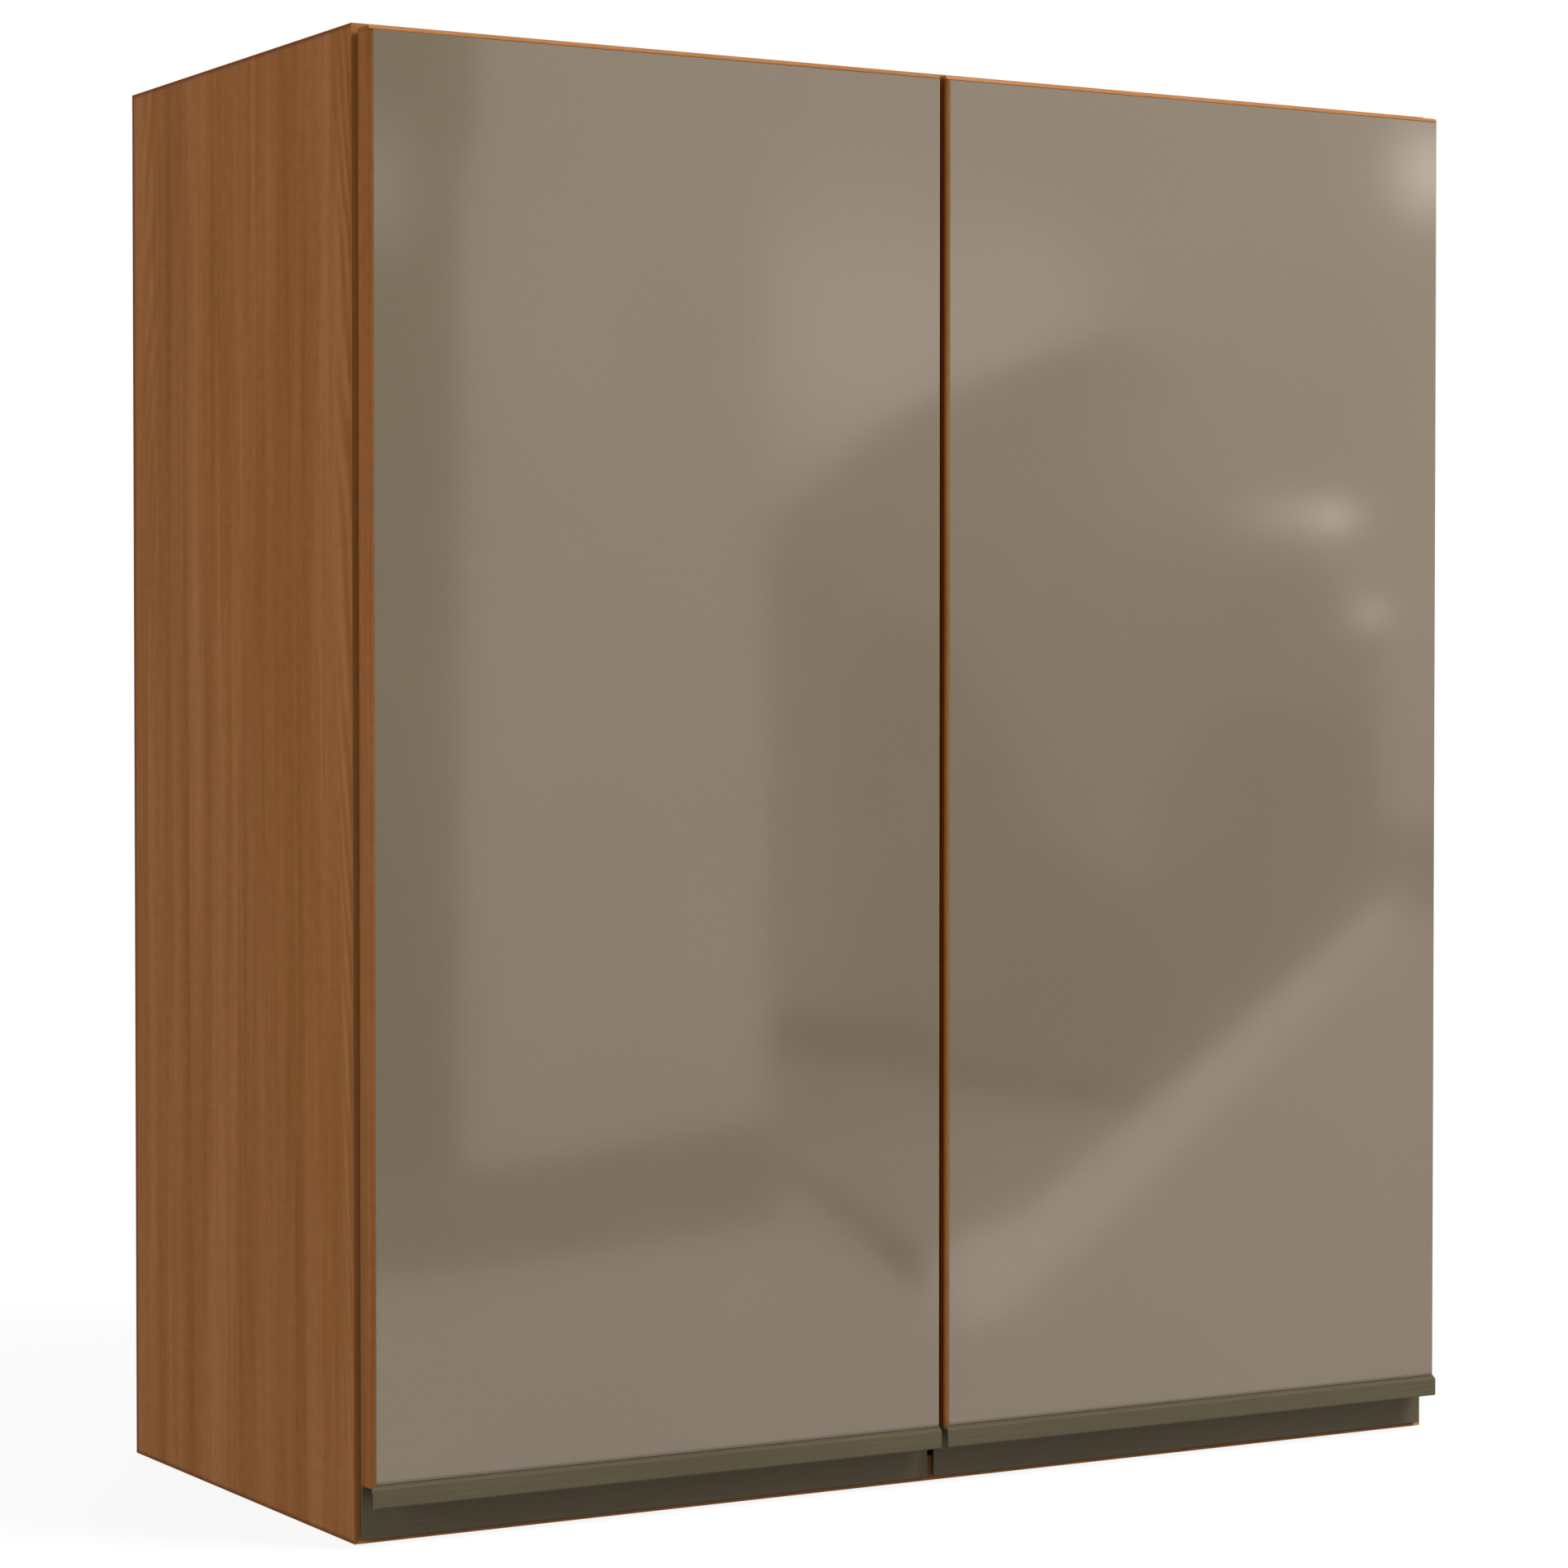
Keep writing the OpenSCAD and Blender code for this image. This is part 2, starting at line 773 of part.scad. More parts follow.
// The outer link is two cheeks and a tube; its wide eye at the cup is the linkage's open pivot
module outer_links(side) {
    color(steel) at_front() hinge_places(side) difference() {
        union() {
            cheeks(outer_z0, outer_z1) {
                strip(outer_arm_pivot, outer_cup_pivot, outer_half);
                translate(open_eye) circle(r = open_eye_r + open_eye_wall, $fn = round_fn);
            }
            along_z(outer_arm_pivot, outer_half, -outer_z1, outer_z1);
        }
        along_z(outer_arm_pivot, arm_pin_r + run_fit, -hinge_reach, hinge_reach);
        along_z(open_eye, open_eye_r, -hinge_reach, hinge_reach);
    }
}

// Outline of the cup's rim and its two screw wings
module cup_wing() {
    translate([cup_x, 0]) circle(d = cup_rim_d, $fn = round_fn);
    translate([wing_x - wing_w / 2, -wing_half]) square([wing_w, 2 * wing_half]);
    for (z = [-wing_half, wing_half])
        translate([wing_x, z]) circle(d = wing_w, $fn = round_fn);
}

// A round shape on the cup's axis, from a height behind the door down to a depth in it
module cup_round(d, from, depth) {
    translate([cup_x, door_back + from, 0]) rotate([90, 0, 0])
        cylinder(d = d, h = from + depth, $fn = round_fn);
}

module hinge_cups(side) {
    color(steel) at_front() hinge_places(side) difference() {
        union() {
            difference() {
                union() {
                    translate([0, door_back + wing_t, 0]) rotate([90, 0, 0])
                        linear_extrude(wing_t) cup_wing();
                    cup_round(cup_d, 0, cup_depth);
                }
                cup_round(cup_d - 2 * cup_wall, wing_t + over, cup_depth - cup_floor);
            }
            pin_block(outer_cup_pivot[0], block_z0, block_z1);
            pin_block(outer_cup_pivot[0], -block_z1, -block_z0);
            pin_block(inner_cup_pivot[0], -lug_z1, lug_z1);
        }
        for (p = [inner_cup_pivot, outer_cup_pivot])
            along_z(p, cup_pin_r + pin_press, -hinge_reach, hinge_reach);
        cup_screw_places() translate([0, wing_t + over, 0]) rotate([90, 0, 0])
            cylinder(d = cup_screw_d + 0.6, h = wing_t + 2 * over, $fn = round_fn);
    }
}

// A block on the cup's floor that holds a cup pin
module pin_block(x, z0, z1) {
    intersection() {
        cup_round(cup_d - cup_wall, 0, cup_depth);
        translate([x - block_half, door_back - cup_depth + block_foot, z0])
            cube([2 * block_half, cup_depth - block_foot - block_back, z1 - z0]);
    }
}

// The inner link turns on a pin through a lug, the outer link on two stubs
module cup_pins(side) {
    stub_end = block_z1 - stub_recess;
    color(pin_steel) at_front() hinge_places(side) {
        along_z(inner_cup_pivot, cup_pin_r, -inner_z1, inner_z1);
        along_z(outer_cup_pivot, cup_pin_r, outer_z0, stub_end);
        along_z(outer_cup_pivot, cup_pin_r, -stub_end, -outer_z0);
    }
}

module cup_screws(side) {
    head_y = wing_t + cup_head_h;
    color(pin_steel) at_front() hinge_places(side) cup_screw_places() rotate([-90, 0, 0]) difference() {
        union() {
            translate([0, 0, wing_t]) cylinder(d1 = cup_head_d, d2 = 5.5, h = cup_head_h, $fn = round_fn);
            translate([0, 0, wing_t - cup_screw_l])
                cylinder(d = cup_screw_d, h = cup_screw_l, $fn = round_fn);
        }
        translate([0, 0, head_y]) cross_recess(small_recess);
    }
}

side_panel(LEFT);  // side_panel_left
side_panel(RIGHT);  // side_panel_right
top_panel();
bottom_panel();
back_panel();
shelf();
upper_rail();
lower_rail();
carcass_front_bands();
shelf_front_band();
shelf_pins();
cam_bolts();
cam_locks();
dowels();
door_panel(LEFT);  // left_door_panel
door_face(LEFT);  // left_door_face
door_bands(LEFT);  // left_door_bands
handle_profile(LEFT);  // left_handle_profile
handle_screws(LEFT);  // left_handle_screws
door_bumpers(LEFT);  // left_door_bumpers
door_panel(RIGHT);  // right_door_panel
door_face(RIGHT);  // right_door_face
door_bands(RIGHT);  // right_door_bands
handle_profile(RIGHT);  // right_handle_profile
handle_screws(RIGHT);  // right_handle_screws
door_bumpers(RIGHT);  // right_door_bumpers
mounting_plates(LEFT);  // left_mounting_plates
plate_screws(LEFT);  // left_plate_screws
hinge_arms(LEFT);  // left_hinge_arms
arm_screws(LEFT);  // left_arm_screws
arm_pins(LEFT);  // left_arm_pins
inner_links(LEFT);  // left_inner_links
outer_links(LEFT);  // left_outer_links
hinge_cups(LEFT);  // left_hinge_cups
cup_pins(LEFT);  // left_cup_pins
cup_screws(LEFT);  // left_cup_screws
mounting_plates(RIGHT);  // right_mounting_plates
plate_screws(RIGHT);  // right_plate_screws
hinge_arms(RIGHT);  // right_hinge_arms
arm_screws(RIGHT);  // right_arm_screws
arm_pins(RIGHT);  // right_arm_pins
inner_links(RIGHT);  // right_inner_links
outer_links(RIGHT);  // right_outer_links
hinge_cups(RIGHT);  // right_hinge_cups
cup_pins(RIGHT);  // right_cup_pins
cup_screws(RIGHT);  // right_cup_screws
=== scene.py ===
"""The looks of a wall-hung two-door kitchen cabinet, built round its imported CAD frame, in metres."""

import json
import math

import bmesh
import bpy
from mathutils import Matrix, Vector
from mathutils.bvhtree import BVHTree


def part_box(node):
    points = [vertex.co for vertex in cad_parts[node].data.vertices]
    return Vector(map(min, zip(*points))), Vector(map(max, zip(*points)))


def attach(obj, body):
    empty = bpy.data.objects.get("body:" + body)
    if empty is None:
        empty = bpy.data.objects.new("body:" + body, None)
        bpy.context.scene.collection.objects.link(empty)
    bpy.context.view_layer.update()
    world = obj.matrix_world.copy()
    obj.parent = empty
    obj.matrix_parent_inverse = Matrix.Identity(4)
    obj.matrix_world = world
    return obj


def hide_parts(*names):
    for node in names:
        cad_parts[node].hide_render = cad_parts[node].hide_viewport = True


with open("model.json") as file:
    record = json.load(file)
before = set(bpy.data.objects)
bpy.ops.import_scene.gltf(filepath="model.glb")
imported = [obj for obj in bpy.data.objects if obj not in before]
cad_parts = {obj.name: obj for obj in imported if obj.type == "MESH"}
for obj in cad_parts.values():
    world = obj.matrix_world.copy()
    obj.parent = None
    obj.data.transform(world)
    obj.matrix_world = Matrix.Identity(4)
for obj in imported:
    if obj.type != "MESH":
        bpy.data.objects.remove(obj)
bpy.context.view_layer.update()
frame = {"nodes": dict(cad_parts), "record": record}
BODY_OF = {n: body for body, nodes in frame["record"]["behaviour"]["bodies"].items() for n in nodes}
SIDES = ("left", "right")
HAIR = 1e-6        # lengths below this don't count
TOUCHING = 1e-4    # a face this near a plane lies on it
FACING = 0.9       # a face whose normal reaches this on an axis looks that way


def linear(red, green, blue):
    """The linear colour of an sRGB colour given from 0 to 255."""
    def channel(value):
        value = value / 255
        return value / 12.92 if value <= 0.04045 else ((value + 0.055) / 1.055) ** 2.4
    return channel(red), channel(green), channel(blue), 1.0


# ---------- material building blocks ----------

class Shader:
    """A node material with one Principled shader, and short calls for the nodes that feed it."""

    def __init__(self, name, colour, roughness, metallic=0.0, specular=0.5):
        self.material = bpy.data.materials.new(name)
        self.material.use_nodes = True
        self.tree = self.material.node_tree
        self.bsdf = self.tree.nodes["Principled BSDF"]
        self.bsdf.inputs["Base Color"].default_value = colour
        self.bsdf.inputs["Roughness"].default_value = roughness
        self.bsdf.inputs["Metallic"].default_value = metallic
        self.bsdf.inputs["Specular IOR Level"].default_value = specular
        self.place = self.node("ShaderNodeTexCoord").outputs["Object"]

    def node(self, kind, **settings):
        """A new node with its settings."""
        made = self.tree.nodes.new(kind)
        for key, value in settings.items():
            setattr(made, key, value)
        return made

    def put(self, socket, value):
        """Feeds a socket from another socket, or sets it."""
        if isinstance(value, bpy.types.NodeSocket):
            self.tree.links.new(value, socket)
        else:
            socket.default_value = value

    def stretched(self, scale, offset=(0, 0, 0)):
        """The place on the object, scaled on each axis and shifted."""
        made = self.node("ShaderNodeMapping")
        self.put(made.inputs["Vector"], self.place)
        made.inputs["Scale"].default_value = scale
        made.inputs["Location"].default_value = offset
        return made.outputs[0]

    def noise(self, vector, scale, detail=2.0, roughness=0.5, distortion=0.0):
        """Cloudy noise, mostly between 0.3 and 0.7."""
        made = self.node("ShaderNodeTexNoise")
        self.put(made.inputs["Vector"], vector)
        made.inputs["Scale"].default_value = scale
        made.inputs["Detail"].default_value = detail
        made.inputs["Roughness"].default_value = roughness
        made.inputs["Distortion"].default_value = distortion
        return made.outputs["Fac"]

    def math(self, operation, a, b=0.0, c=0.0):
        """The result of a Math node."""
        made = self.node("ShaderNodeMath", operation=operation)
        for socket, value in zip(made.inputs, (a, b, c)):
            self.put(socket, value)
        return made.outputs[0]

    def spread(self, value, low, high, to_low=0.0, to_high=1.0):
        """Value rescaled from low..high to to_low..to_high, clamped."""
        made = self.node("ShaderNodeMapRange")
        self.put(made.inputs["Value"], value)
        limits = {"From Min": low, "From Max": high, "To Min": to_low, "To Max": to_high}
        for name, number in limits.items():
            made.inputs[name].default_value = number
        return made.outputs[0]

    def split(self, vector):
        """The x, y and z of a vector."""
        made = self.node("ShaderNodeSeparateXYZ")
        self.put(made.inputs[0], vector)
        return made.outputs

    def ramp(self, value, stops):
        """A colour read from a scale, given as its (position, colour) stops."""
        made = self.node("ShaderNodeValToRGB")
        self.put(made.inputs["Fac"], value)
        elements = made.color_ramp.elements
        while len(elements) < len(stops):
            elements.new(0.5)
        for element, (position, colour) in zip(elements, stops):
            element.position = position
            element.color = colour
        return made.outputs["Color"]

    def mix(self, factor, a, b):
        """Colour a where the factor is 0 and colour b where it is 1."""
        made = self.node("ShaderNodeMix", data_type="RGBA")
        self.put(made.inputs["Factor"], factor)
        first, second = (socket for socket in made.inputs if socket.type == "RGBA")
        self.put(first, a)
        self.put(second, b)
        return next(socket for socket in made.outputs if socket.type == "RGBA")

    def colour(self, value):
        """Sets or feeds the base colour."""
        self.put(self.bsdf.inputs["Base Color"], value)

    def rough(self, value):
        """Sets or feeds the roughness."""
        self.put(self.bsdf.inputs["Roughness"], value)

    def bump(self, height, strength, distance):
        """Raises the surface by a height from 0 to 1 over a distance."""
        made = self.node("ShaderNodeBump")
        made.inputs["Strength"].default_value = strength
        made.inputs["Distance"].default_value = distance
        self.put(made.inputs["Height"], height)
        self.put(self.bsdf.inputs["Normal"], made.outputs[0])


def along_axis(axis, amount):
    """Stretch factors that draw a pattern out along one axis."""
    return tuple(amount if name == axis else 1.0 for name in "xyz")


def pointed_figure(s, axis, offset, grain, across, centre):
    """Growth rings that run to points, in patches, at the same distance on both sides of the middle."""
    ring_spacing, slant, waviness, strength = 760.0, -120.0, 34.0, 0.17
    inner, outer = centre - 0.034, centre - 0.012
    xyz = dict(zip("xyz", s.split(s.place)))
    warp = s.noise(s.stretched(along_axis(axis, 0.30), offset), 15)
    out = s.math("ABSOLUTE", xyz[across])
    phase = s.math("MULTIPLY", s.math("ABSOLUTE", s.math("SUBTRACT", out, centre)), ring_spacing)
    phase = s.math("MULTIPLY_ADD", xyz[axis], slant, phase)
    rings = s.math("SINE", s.math("MULTIPLY_ADD", warp, waviness, phase))
    patches = s.math("MULTIPLY", s.spread(out, inner, outer), s.spread(s.noise(grain, 24, 1.0), 0.42, 0.56))
    return s.math("MULTIPLY", s.math("MULTIPLY", rings, patches), strength)


def wood(name, axis, seed, shades, flames=None, seams_and_painted_highlights=()):
    """Wood-grain laminate: broad bands, streaks and short pores along one axis.

    shades are its dark, middle and light colours.
    flames names the axis across the board, and the distance from the middle where the figure is centred.
    The edge list holds the (axis, coordinate, width, colour) of edges along which another colour shows: dark
    joints, and a painted highlight along the foot of the carcass front bands.
    """
    dark, middle, light = shades
    s = Shader(name, middle, 0.6, specular=0.04)
    offset = (seed * 1.37, seed * 0.71, seed * 2.13)
    grain = s.stretched(along_axis(axis, 0.03), offset)
    broad = s.noise(grain, 16, 3.0, 0.55)
    streak = s.noise(grain, 72, 4.0, 0.60, 0.25)
    fine = s.noise(grain, 420)
    mottle = s.noise(s.stretched(along_axis(axis, 1.6), offset), 110)
    tone = s.math("MULTIPLY_ADD", s.spread(broad, 0.3, 0.7), 0.30, 0.05)
    tone = s.math("MULTIPLY_ADD", s.spread(streak, 0.3, 0.7), 0.46, tone)
    tone = s.math("MULTIPLY_ADD", s.spread(fine, 0.25, 0.75), 0.12, tone)
    tone = s.math("MULTIPLY_ADD", s.spread(mottle, 0.3, 0.7, -0.5, 0.5), 0.12, tone)
    if flames:
        tone = s.math("ADD", tone, pointed_figure(s, axis, offset, grain, *flames))
    pores = s.spread(s.noise(grain, 1500, 1.0), 0.60, 0.72)
    shown = s.ramp(tone, [(0.14, dark), (0.50, middle), (0.86, light)])
    shown = s.mix(s.math("MULTIPLY", pores, 0.30), shown, dark)
    # Edge lines: dark joints, and a painted highlight where an edge is drawn paler than the light on it.
    for edge_axis, edge, width, edge_colour in seams_and_painted_highlights:
        along = s.split(s.place)["xyz".index(edge_axis)]
        away = s.math("ABSOLUTE", s.math("SUBTRACT", along, edge))
        shown = s.mix(s.spread(away, 0.6 * width, 1.4 * width, 0.85, 0.0), shown, edge_colour)
    s.colour(shown)
    s.rough(s.spread(streak, 0.3, 0.7, 0.60, 0.50))
    s.bump(s.math("MULTIPLY_ADD", pores, -0.7, fine), 0.16, 0.00012)
    return s.material


def chipboard():
    """Raw particle board: packed chips of several tones."""
    s = Shader("raw_chipboard", linear(176, 140, 96), 0.9, specular=0.1)
    cells = s.node("ShaderNodeTexVoronoi", feature="F1")
    s.put(cells.inputs["Vector"], s.place)
    cells.inputs["Scale"].default_value = 620
    grey = s.node("ShaderNodeSeparateColor")
    s.put(grey.inputs[0], cells.outputs["Color"])
    chips = s.ramp(grey.outputs[0], [
        (0.0, linear(128, 93, 58)), (0.35, linear(168, 131, 88)),
        (0.7, linear(192, 158, 112)), (1.0, linear(214, 184, 138))])
    gaps = s.spread(cells.outputs["Distance"], 0.35, 0.75)
    s.colour(s.mix(s.math("MULTIPLY", gaps, 0.5), chips, linear(96, 68, 42)))
    s.bump(s.math("SUBTRACT", grey.outputs[0], gaps), 0.5, 0.0003)
    return s.material


def hardboard():
    """The raw rear of the thin back panel: pressed brown fibre."""
    s = Shader("raw_hardboard", linear(134, 98, 66), 0.8, specular=0.15)
    fibre = s.noise(s.place, 260, 5.0, 0.7, 1.2)
    flecks = s.noise(s.place, 1400)
    base = s.ramp(fibre, [
        (0.3, linear(112, 78, 50)), (0.55, linear(136, 100, 68)), (0.75, linear(160, 124, 88))])
    s.colour(s.mix(s.spread(flecks, 0.58, 0.7, 0.0, 0.45), base, linear(92, 62, 40)))
    s.rough(s.spread(fibre, 0.3, 0.7, 0.72, 0.88))
    s.bump(fibre, 0.3, 0.0003)
    return s.material


def gloss_lacquer():
    """High-gloss taupe face: faint cloud and speckle, slight orange peel, and a painted shade line at its
    foot.
    """
    s = Shader("gloss_taupe", linear(121, 108, 91), 0.07)
    cloud = s.noise(s.place, 7, 3.0)
    speckle = s.noise(s.place, 900)
    shade = s.mix(s.spread(cloud, 0.3, 0.7), linear(119, 106, 89), linear(123, 110, 92))
    shade = s.mix(s.spread(speckle, 0.3, 0.7, 0.0, 0.5), shade, linear(128, 115, 96))
    # Painted shade: the face darkens over its lowest 0.8 to 1.8 mm, standing in for the shadow line where
    # the handle's lip meets it.
    above_foot = s.math("SUBTRACT", s.split(s.place)[2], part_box("left_door_face")[0].z)
    s.colour(s.mix(s.spread(above_foot, 0.0008, 0.0018, 0.7, 0.0), shade, linear(62, 54, 42)))
    s.rough(s.spread(s.noise(s.place, 40), 0.3, 0.7, 0.060, 0.080))
    s.bump(s.noise(s.place, 260), 0.05, 0.00005)
    s.bsdf.inputs["Coat Weight"].default_value = 0.25
    s.bsdf.inputs["Coat Roughness"].default_value = 0.06
    return s.material


def anodised():
    """Olive-bronze anodised extrusion with fine die lines along X."""
    s = Shader("bronze_anodised", linear(84, 78, 56), 0.42, metallic=0.15, specular=0.25)
    lines = s.noise(s.stretched((0.012, 1, 1)), 2600, 2.0, 0.6)
    cloud = s.noise(s.stretched((0.2, 1, 1)), 30, 3.0)
    base = s.mix(s.spread(lines, 0.3, 0.7), linear(82, 75, 55), linear(97, 89, 69))
    s.colour(s.mix(s.spread(cloud, 0.35, 0.65, 0.0, 0.35), base, linear(73, 67, 48)))
    s.rough(s.spread(lines, 0.3, 0.7, 0.38, 0.48))
    s.bump(lines, 0.12, 0.00006)
    return s.material


def plated_steel(name, colour, roughness):
    """Pressed or turned steel: upright rolling marks and faint staining."""
    s = Shader(name, colour, roughness, metallic=1.0)
    marks = s.noise(s.stretched(along_axis("z", 0.05)), 1800, 2.0, 0.6)
    stain = s.noise(s.place, 120, 3.0)
    darker = tuple(channel * 0.78 for channel in colour[:3]) + (1.0,)
    s.colour(s.mix(s.spread(stain, 0.35, 0.7, 0.0, 0.6), colour, darker))
    s.rough(s.spread(marks, 0.3, 0.7, roughness - 0.06, roughness + 0.10))
    s.bump(marks, 0.05, 0.00004)
    return s.material


def cast_zinc():
    """Die-cast zinc: dull, slightly mottled and grainy."""
    s = Shader("cast_zinc", linear(150, 152, 155), 0.55, metallic=0.9)
    grain = s.noise(s.place, 900, 3.0, 0.7)
    s.colour(s.ramp(grain, [(0.3, linear(122, 124, 128)), (0.7, linear(170, 172, 175))]))
    s.rough(s.spread(grain, 0.3, 0.7, 0.48, 0.66))
    s.bump(grain, 0.25, 0.0001)
    return s.material


def soft_plastic():
    """Milky soft plastic of the door bumpers."""
    s = Shader("milky_plastic", linear(222, 221, 214), 0.35)
    haze = s.noise(s.place, 300, 3.0)
    s.colour(s.mix(s.spread(haze, 0.3, 0.7), linear(214, 213, 205), linear(230, 229, 224)))
    s.rough(s.spread(haze, 0.3, 0.7, 0.28, 0.42))
    s.bsdf.inputs["Subsurface Weight"].default_value = 0.1
    s.bsdf.inputs["Subsurface Scale"].default_value = 0.001
    return s.material


SEAM = linear(112, 60, 14)           # the dark joint of laminate and band
PAINTED_UNDERSIDE_HIGHLIGHT = linear(226, 160, 98)     # painted highlight: the lower edge of the front bands drawn pale, for light from below that the handle profile keeps off
BOARD_SHADES = linear(130, 79, 31), linear(149, 95, 49), linear(165, 110, 65)
BAND_SHADES = linear(132, 82, 38), linear(151, 99, 55), linear(168, 114, 71)
LEVEL_BAND_SHADES = linear(141, 92, 48), linear(161, 110, 67), linear(179, 126, 84)
BEECH_SHADES = linear(190, 156, 110), linear(214, 184, 138), linear(228, 202, 160)


def band_wood(name, axis, seed, seams_and_painted_highlights=()):
    """Edge band, a little paler where it is level along x than elsewhere."""
    return wood(name, axis, seed, LEVEL_BAND_SHADES if axis == "x" else BAND_SHADES, seams_and_painted_highlights=seams_and_painted_highlights)


RAW = chipboard()
RAW_BACK = hardboard()
STEEL = plated_steel("nickel_steel", linear(188, 190, 192), 0.30)
DARK_STEEL = plated_steel("zinc_steel", linear(150, 152, 156), 0.36)
ZINC = cast_zinc()
LACQUER = gloss_lacquer()
BRONZE = anodised()
PLASTIC = soft_plastic()


# ---------- pieces ----------

FLAT_WITHIN = math.radians(0.4)      # triangles this near one plane are one face
SMOOTH_WITHIN = math.radians(50)     # faces that meet at less are shaded as one surface
ROUNDED_FROM = math.radians(35)      # edges that turn by more are rounded
HOLE_FACET = 0.0025                  # the facets of a board's holes are narrower
BOARD_ROUNDING = 0.0004
THIN_ROUNDING = 0.0002


def joined_up(node, choose):
    """A bmesh of a CAD node: corners welded, materials chosen, and each flat face whole."""
    shape = bmesh.new()
    shape.from_mesh(frame["nodes"][node].data)
    bmesh.ops.remove_doubles(shape, verts=shape.verts, dist=HAIR)
    shape.normal_update()
    for face in shape.faces:
        face.material_index = choose(face.calc_center_median(), face.normal) if choose else 0
    bmesh.ops.dissolve_limit(
        shape, angle_limit=FLAT_WITHIN, verts=shape.verts, edges=shape.edges, delimit={"MATERIAL"})
    return shape


def even_normals(mesh):
    """Shades flat faces flat and rounded edges smooth: large faces outweigh small ones at a corner."""
    near = math.cos(SMOOTH_WITHIN)
    faces_at = [[] for _ in mesh.vertices]
    for polygon in mesh.polygons:
        for vertex in polygon.vertices:
            faces_at[vertex].append(polygon)
    normals = []
    for polygon in mesh.polygons:
        for vertex in polygon.vertices:
            total = Vector()
            for other in faces_at[vertex]:
                if polygon.normal.dot(other.normal) > near:
                    total += other.normal * other.area
            normals.append(total.normalized() if total.length else polygon.normal.copy())
    mesh.normals_split_custom_set(normals)


def settled(mesh, surface, low, high, width):
    """Puts corners that the rounding threw clear of the piece back on its surface."""
    shape = bmesh.new()
    shape.from_mesh(mesh)
    for vertex in shape.verts:
        nearest, _, _, distance = surface.find_nearest(vertex.co)
        outside = any(not low[i] - HAIR < vertex.co[i] < high[i] + HAIR for i in range(3))
        if outside or distance > width:
            vertex.co = nearest
    bmesh.ops.dissolve_degenerate(shape, dist=HAIR, edges=shape.edges)
    shape.to_mesh(mesh)
    shape.free()


def softened(node, materials, width, segments=2, choose=None, shortest=0.0):
    """Replaces a CAD node with a copy whose edges are rounded by a width.

    choose(centre, normal) gives the number of a face's material in the list. Edges no longer than shortest
    stay sharp.
    """
    shape = joined_up(node, choose)
    weight = shape.edges.layers.float.new("bevel_weight_edge")
    for edge in shape.edges:
        if edge.is_manifold and edge.calc_length() > shortest and edge.calc_face_angle() > ROUNDED_FROM:
            edge[weight] = 1.0
    surface = BVHTree.FromBMesh(shape)
    low = [min(vertex.co[i] for vertex in shape.verts) for i in range(3)]
    high = [max(vertex.co[i] for vertex in shape.verts) for i in range(3)]
    mesh = bpy.data.meshes.new(node + "_mesh")
    for material in materials:
        mesh.materials.append(material)
    shape.to_mesh(mesh)
    shape.free()
    piece = bpy.data.objects.new(node + "_piece", mesh)
    bpy.context.scene.collection.objects.link(piece)
    for polygon in mesh.polygons:
        polygon.use_smooth = True
    if width:
        bevel = piece.modifiers.new("soft_edges", "BEVEL")
        bevel.width = width
        bevel.segments = segments
        bevel.limit_method = "WEIGHT"
        bevel.use_clamp_overlap = False
        graph = bpy.context.evaluated_depsgraph_get()
        finished = bpy.data.meshes.new_from_object(piece.evaluated_get(graph), depsgraph=graph)
        piece.modifiers.clear()
        piece.data = finished
        settled(finished, surface, low, high, width)
    even_normals(piece.data)
    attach(piece, BODY_OF[node])
    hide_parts(node)


def board(node, grain_axis, face_axis, seed, width=BOARD_ROUNDING, ends_banded=False, flames=None, seams_and_painted_highlights=()):
    """A board with sharp holes: laminate on its two large faces and raw core on the others.

    With ends_banded, the faces at the two ends of the grain carry edge band.
    """
    low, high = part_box(node)
    face, end = "xyz".index(face_axis), "xyz".index(grain_axis)
    materials = [wood(node + "_wood", grain_axis, seed, BOARD_SHADES, flames, seams_and_painted_highlights), RAW]
    if ends_banded:
        materials.append(band_wood(node + "_end_band", "xyz"[3 - face - end], seed))

    def choose(centre, normal):
        if abs(normal[face]) > FACING:
            return 0
        if ends_banded and min(abs(centre[end] - low[end]), abs(centre[end] - high[end])) < TOUCHING:
            return 2
        return 1
    softened(node, materials, width, choose=choose, shortest=HOLE_FACET)


def banded(node, seed, seams_and_painted_highlights=()):
    """Edge bands round a door or the carcass: upright grain at the sides, level grain between them."""
    low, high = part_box(node)
    upright_width = 0.016    # a little more than a side panel's edge
    upright = band_wood(node + "_upright", "z", seed)
    level = band_wood(node + "_level", "x", seed, seams_and_painted_highlights)

    def choose(centre, normal):
        return 1 if low.x + upright_width < centre.x < high.x - upright_width else 0
    softened(node, [upright, level], THIN_ROUNDING, choose=choose)


